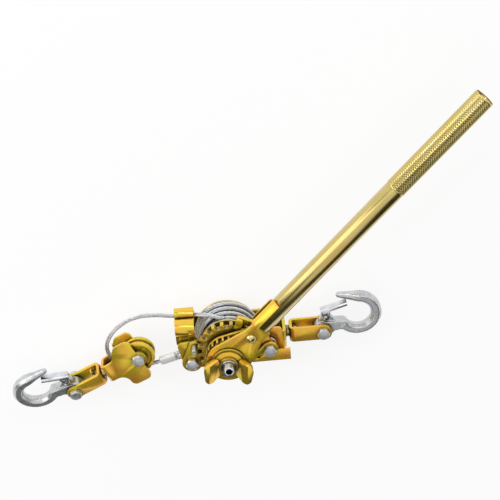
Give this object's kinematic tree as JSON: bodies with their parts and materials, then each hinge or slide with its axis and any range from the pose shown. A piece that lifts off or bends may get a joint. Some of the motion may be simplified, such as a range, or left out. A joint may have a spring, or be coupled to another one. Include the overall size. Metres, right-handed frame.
{
  "type": "come along winch",
  "caption": "Hand cable puller: ratchet drum in a plated frame, long tube handle, wire rope, pulley block and two latch hooks on swivel clevises.",
  "frame": {"origin": "centre of the flat head of the drum axle, on the floor the winch lies on", "axes": "+Z along the drum axis from the rear plate to the knob, +X from the drum towards the hook fixed to the frame, +Y towards the side of the handle"},
  "size_m": [0.5473, 0.3732, 0.1084],
  "materials": {
    "gold_zinc": "glossy",
    "pale_zinc": "glossy",
    "silver_zinc": "satin",
    "forged_steel": "satin",
    "sheet_steel": "satin",
    "wire_rope": "satin",
    "aluminium": "satin",
    "knurled_zinc": "knurled"
  },
  "bodies": {
    "frame": {"rear_plate": "gold_zinc", "middle_plate": "gold_zinc", "anchor_plate": "gold_zinc", "front_bracket": "gold_zinc", "end_bracket": "gold_zinc", "bracket_rivets": "pale_zinc", "cable_guide": "gold_zinc", "anchor_bolt": "silver_zinc", "pawl_bolt": "silver_zinc", "frame_nuts": "silver_zinc", "frame_spacers": "pale_zinc", "stop_pin": "silver_zinc", "main_axle": "silver_zinc", "cap_screw": "silver_zinc", "pawl_spring": "sheet_steel", "cable_run": "wire_rope", "cable_ferrule": "aluminium", "cable_eye": "wire_rope", "cable_thimble": "sheet_steel"},
    "drum": {"cable_drum": "gold_zinc", "rope_layers": "wire_rope", "rope_winding": "wire_rope", "holding_ratchet": "gold_zinc", "drive_ratchet": "pale_zinc", "knob_ring": "pale_zinc", "wing_knob": "gold_zinc"},
    "holding_pawl": {"holding_pawl": "gold_zinc"},
    "handle": {"handle_front_jaw": "gold_zinc", "handle_rear_jaw": "gold_zinc", "handle_tube": "gold_zinc", "handle_grip": "knurled_zinc", "handle_rivet": "pale_zinc"},
    "drive_pawl": {"drive_pawl": "gold_zinc"},
    "block": {"block_shell": "gold_zinc", "block_bolt": "silver_zinc"},
    "sheave": {"sheave": "pale_zinc"},
    "clevis_a": {"load_clevis": "gold_zinc", "load_swivel_pin": "pale_zinc", "load_clevis_bolt": "silver_zinc", "load_cotter": "pale_zinc"},
    "hook_a": {"load_hook": "forged_steel", "load_latch_rivet": "sheet_steel"},
    "latch_a": {"load_latch": "sheet_steel"},
    "clevis_b": {"anchor_clevis": "gold_zinc", "anchor_swivel_pin": "pale_zinc", "anchor_clevis_bolt": "silver_zinc"},
    "hook_b": {"anchor_hook": "forged_steel", "anchor_latch_rivet": "sheet_steel"},
    "latch_b": {"anchor_latch": "sheet_steel"}
  },
  "joints": [
    {"name": "drum_spin", "type": "hinge", "parent": "frame", "child": "drum", "pos_m": [0, 0, 0], "axis": [0, 0, 1], "continuous": true},
    {"name": "handle_swing", "type": "hinge", "parent": "frame", "child": "handle", "pos_m": [0, 0, 0], "axis": [0, 0, 1], "range_deg": [-15, 105]},
    {"name": "drive_pawl_pivot", "type": "hinge", "parent": "handle", "child": "drive_pawl", "pos_m": [0.02724, 0.02791, 0], "axis": [0, 0, 1], "range_deg": [-16, 0]},
    {"name": "holding_pawl_pivot", "type": "hinge", "parent": "frame", "child": "holding_pawl", "pos_m": [0.0473, -0.0018, 0], "axis": [0, 0, 1], "range_deg": [0, 4.5]},
    {"name": "block_travel", "type": "slide", "parent": "frame", "child": "block", "axis": [-0.9041, -0.4274, 0], "range_m": [0, 0.02], "deforming": ["cable_run"]},
    {"name": "sheave_spin", "type": "hinge", "parent": "block", "child": "sheave", "pos_m": [-0.1047, -0.0169, 0.032], "axis": [0, 0, 1], "continuous": true},
    {"name": "load_swivel", "type": "hinge", "parent": "block", "child": "clevis_a", "pos_m": [-0.18453, -0.05464, 0.032], "axis": [0.9041, 0.4274, 0], "continuous": true},
    {"name": "load_hook_pivot", "type": "hinge", "parent": "clevis_a", "child": "hook_a", "pos_m": [-0.18453, -0.05464, 0.032], "axis": [0.1249, -0.2643, 0.9563], "range_deg": [-60, 60]},
    {"name": "load_latch_pivot", "type": "hinge", "parent": "hook_a", "child": "latch_a", "pos_m": [-0.1922, -0.0402, 0.03699], "axis": [-0.1249, 0.2643, -0.9563], "range_deg": [-35, 0]},
    {"name": "anchor_swivel", "type": "hinge", "parent": "frame", "child": "clevis_b", "pos_m": [0.1106, -0.0032, 0.032], "axis": [1, 0, 0], "continuous": true},
    {"name": "anchor_hook_pivot", "type": "hinge", "parent": "clevis_b", "child": "hook_b", "pos_m": [0.1106, -0.0032, 0.032], "axis": [0, 0, 1], "range_deg": [-60, 60]},
    {"name": "anchor_latch_pivot", "type": "hinge", "parent": "hook_b", "child": "latch_b", "pos_m": [0.11431, 0.01348, 0.032], "axis": [0, 0, 1], "range_deg": [-35, 0]}
  ]
}
